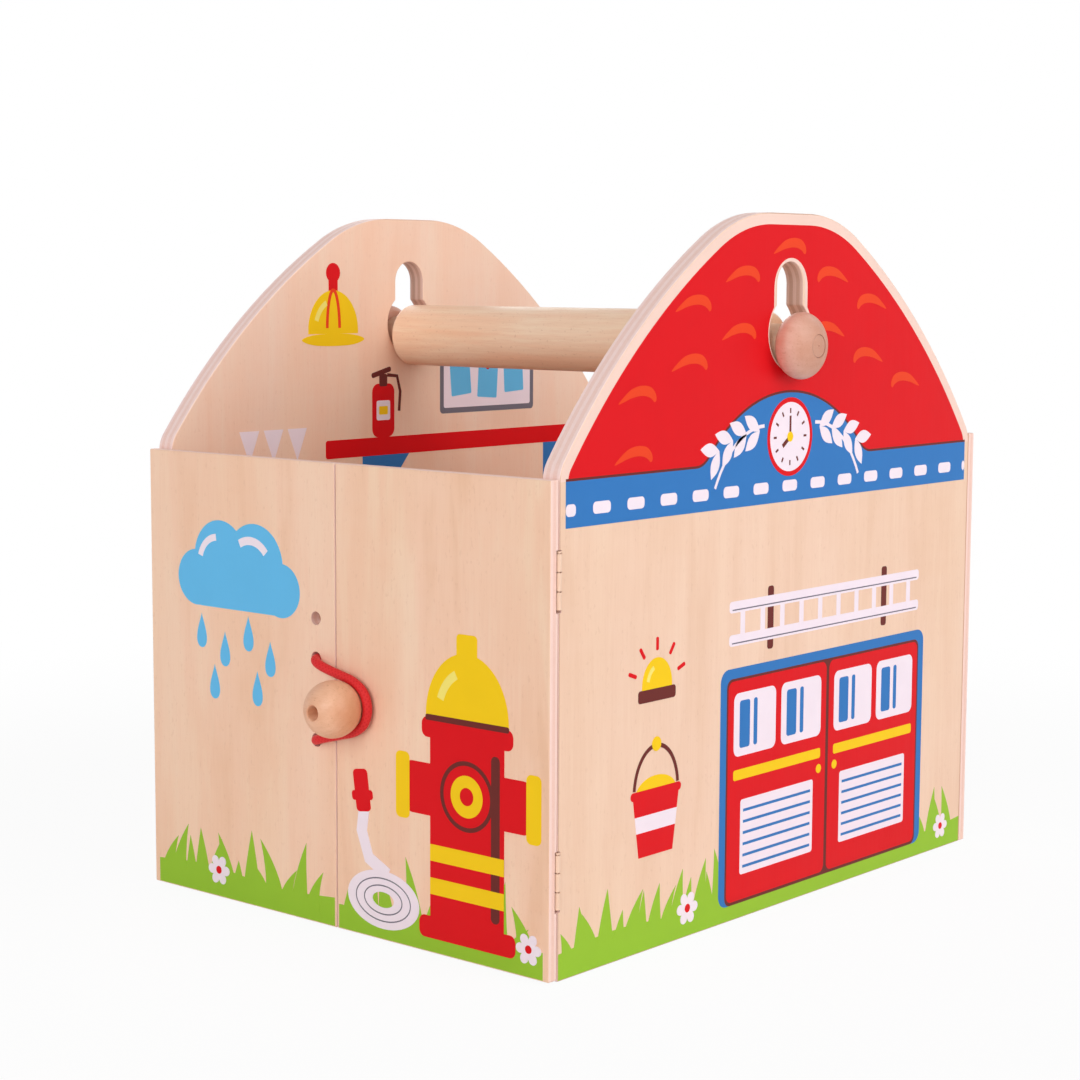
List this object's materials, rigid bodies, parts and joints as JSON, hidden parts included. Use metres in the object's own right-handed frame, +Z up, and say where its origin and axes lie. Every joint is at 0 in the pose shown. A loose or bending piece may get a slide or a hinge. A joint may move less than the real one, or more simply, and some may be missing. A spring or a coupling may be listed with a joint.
{
  "type": "toy fire station",
  "caption": "Plywood carry case dressed as a toy fire station, with two arched gables, hinged front doors with a bead and loop closure, and a lifting round handle.",
  "frame": {"origin": "middle of the case's footprint, on the surface it stands on", "axes": "+Z up, -Y to the front doors, +X to the right gable seen from the front"},
  "size_m": [0.193, 0.2475, 0.22],
  "materials": {
    "printed_plywood": "pale plywood with printed colour and a satin lacquer",
    "plain_plywood": "bare pale plywood, satin lacquer",
    "turned_beech": "turned beech, satin lacquer",
    "hinge_enamel": "steel enamelled in the colour of the wood",
    "plated_steel": "zinc plated steel",
    "red_elastic": "smooth woven round elastic"
  },
  "bodies": {
    "case": {"left_gable": "printed_plywood", "right_gable": "printed_plywood", "base_board": "plain_plywood", "back_panel": "printed_plywood", "base_dowel_left_front": "turned_beech", "base_dowel_left_rear": "turned_beech", "base_dowel_right_front": "turned_beech", "base_dowel_right_rear": "turned_beech", "brad_left_1": "plated_steel", "brad_left_2": "plated_steel", "brad_left_3": "plated_steel", "brad_right_1": "plated_steel", "brad_right_2": "plated_steel", "brad_right_3": "plated_steel", "brad_base_1": "plated_steel", "brad_base_2": "plated_steel", "hinge_left_lower_case_plate": "hinge_enamel", "hinge_left_lower_pin": "plated_steel", "hinge_left_lower_case_screw_1": "hinge_enamel", "hinge_left_lower_case_screw_2": "hinge_enamel", "hinge_left_upper_case_plate": "hinge_enamel", "hinge_left_upper_pin": "plated_steel", "hinge_left_upper_case_screw_1": "hinge_enamel", "hinge_left_upper_case_screw_2": "hinge_enamel", "hinge_right_lower_case_plate": "hinge_enamel", "hinge_right_lower_pin": "plated_steel", "hinge_right_lower_case_screw_1": "hinge_enamel", "hinge_right_lower_case_screw_2": "hinge_enamel", "hinge_right_upper_case_plate": "hinge_enamel", "hinge_right_upper_pin": "plated_steel", "hinge_right_upper_case_screw_1": "hinge_enamel", "hinge_right_upper_case_screw_2": "hinge_enamel"},
    "left_door": {"left_door": "printed_plywood", "hinge_left_lower_door_plate": "hinge_enamel", "hinge_left_lower_door_screw_1": "hinge_enamel", "hinge_left_lower_door_screw_2": "hinge_enamel", "hinge_left_upper_door_plate": "hinge_enamel", "hinge_left_upper_door_screw_1": "hinge_enamel", "hinge_left_upper_door_screw_2": "hinge_enamel", "elastic_loop": "red_elastic", "loop_knot_lower": "red_elastic", "loop_knot_upper": "red_elastic"},
    "right_door": {"right_door": "printed_plywood", "hinge_right_lower_door_plate": "hinge_enamel", "hinge_right_lower_door_screw_1": "hinge_enamel", "hinge_right_lower_door_screw_2": "hinge_enamel", "hinge_right_upper_door_plate": "hinge_enamel", "hinge_right_upper_door_screw_1": "hinge_enamel", "hinge_right_upper_door_screw_2": "hinge_enamel", "door_bead": "turned_beech", "bead_screw": "plated_steel"},
    "handle": {"handle_bar": "turned_beech", "handle_knob_left": "turned_beech", "handle_knob_right": "turned_beech"}
  },
  "joints": [
    {"name": "left_door_hinge", "type": "hinge", "parent": "case", "child": "left_door", "pos_m": [-0.0855, -0.11135, 0], "axis": [0, 0, -1], "range_deg": [0, 175], "deforming": ["elastic_loop"]},
    {"name": "right_door_hinge", "type": "hinge", "parent": "case", "child": "right_door", "pos_m": [0.0855, -0.11135, 0], "axis": [0, 0, 1], "range_deg": [0, 175], "deforming": ["elastic_loop"]},
    {"name": "handle_lift", "type": "slide", "parent": "case", "child": "handle", "axis": [0, 0, 1], "range_m": [0, 0.019]}
  ]
}
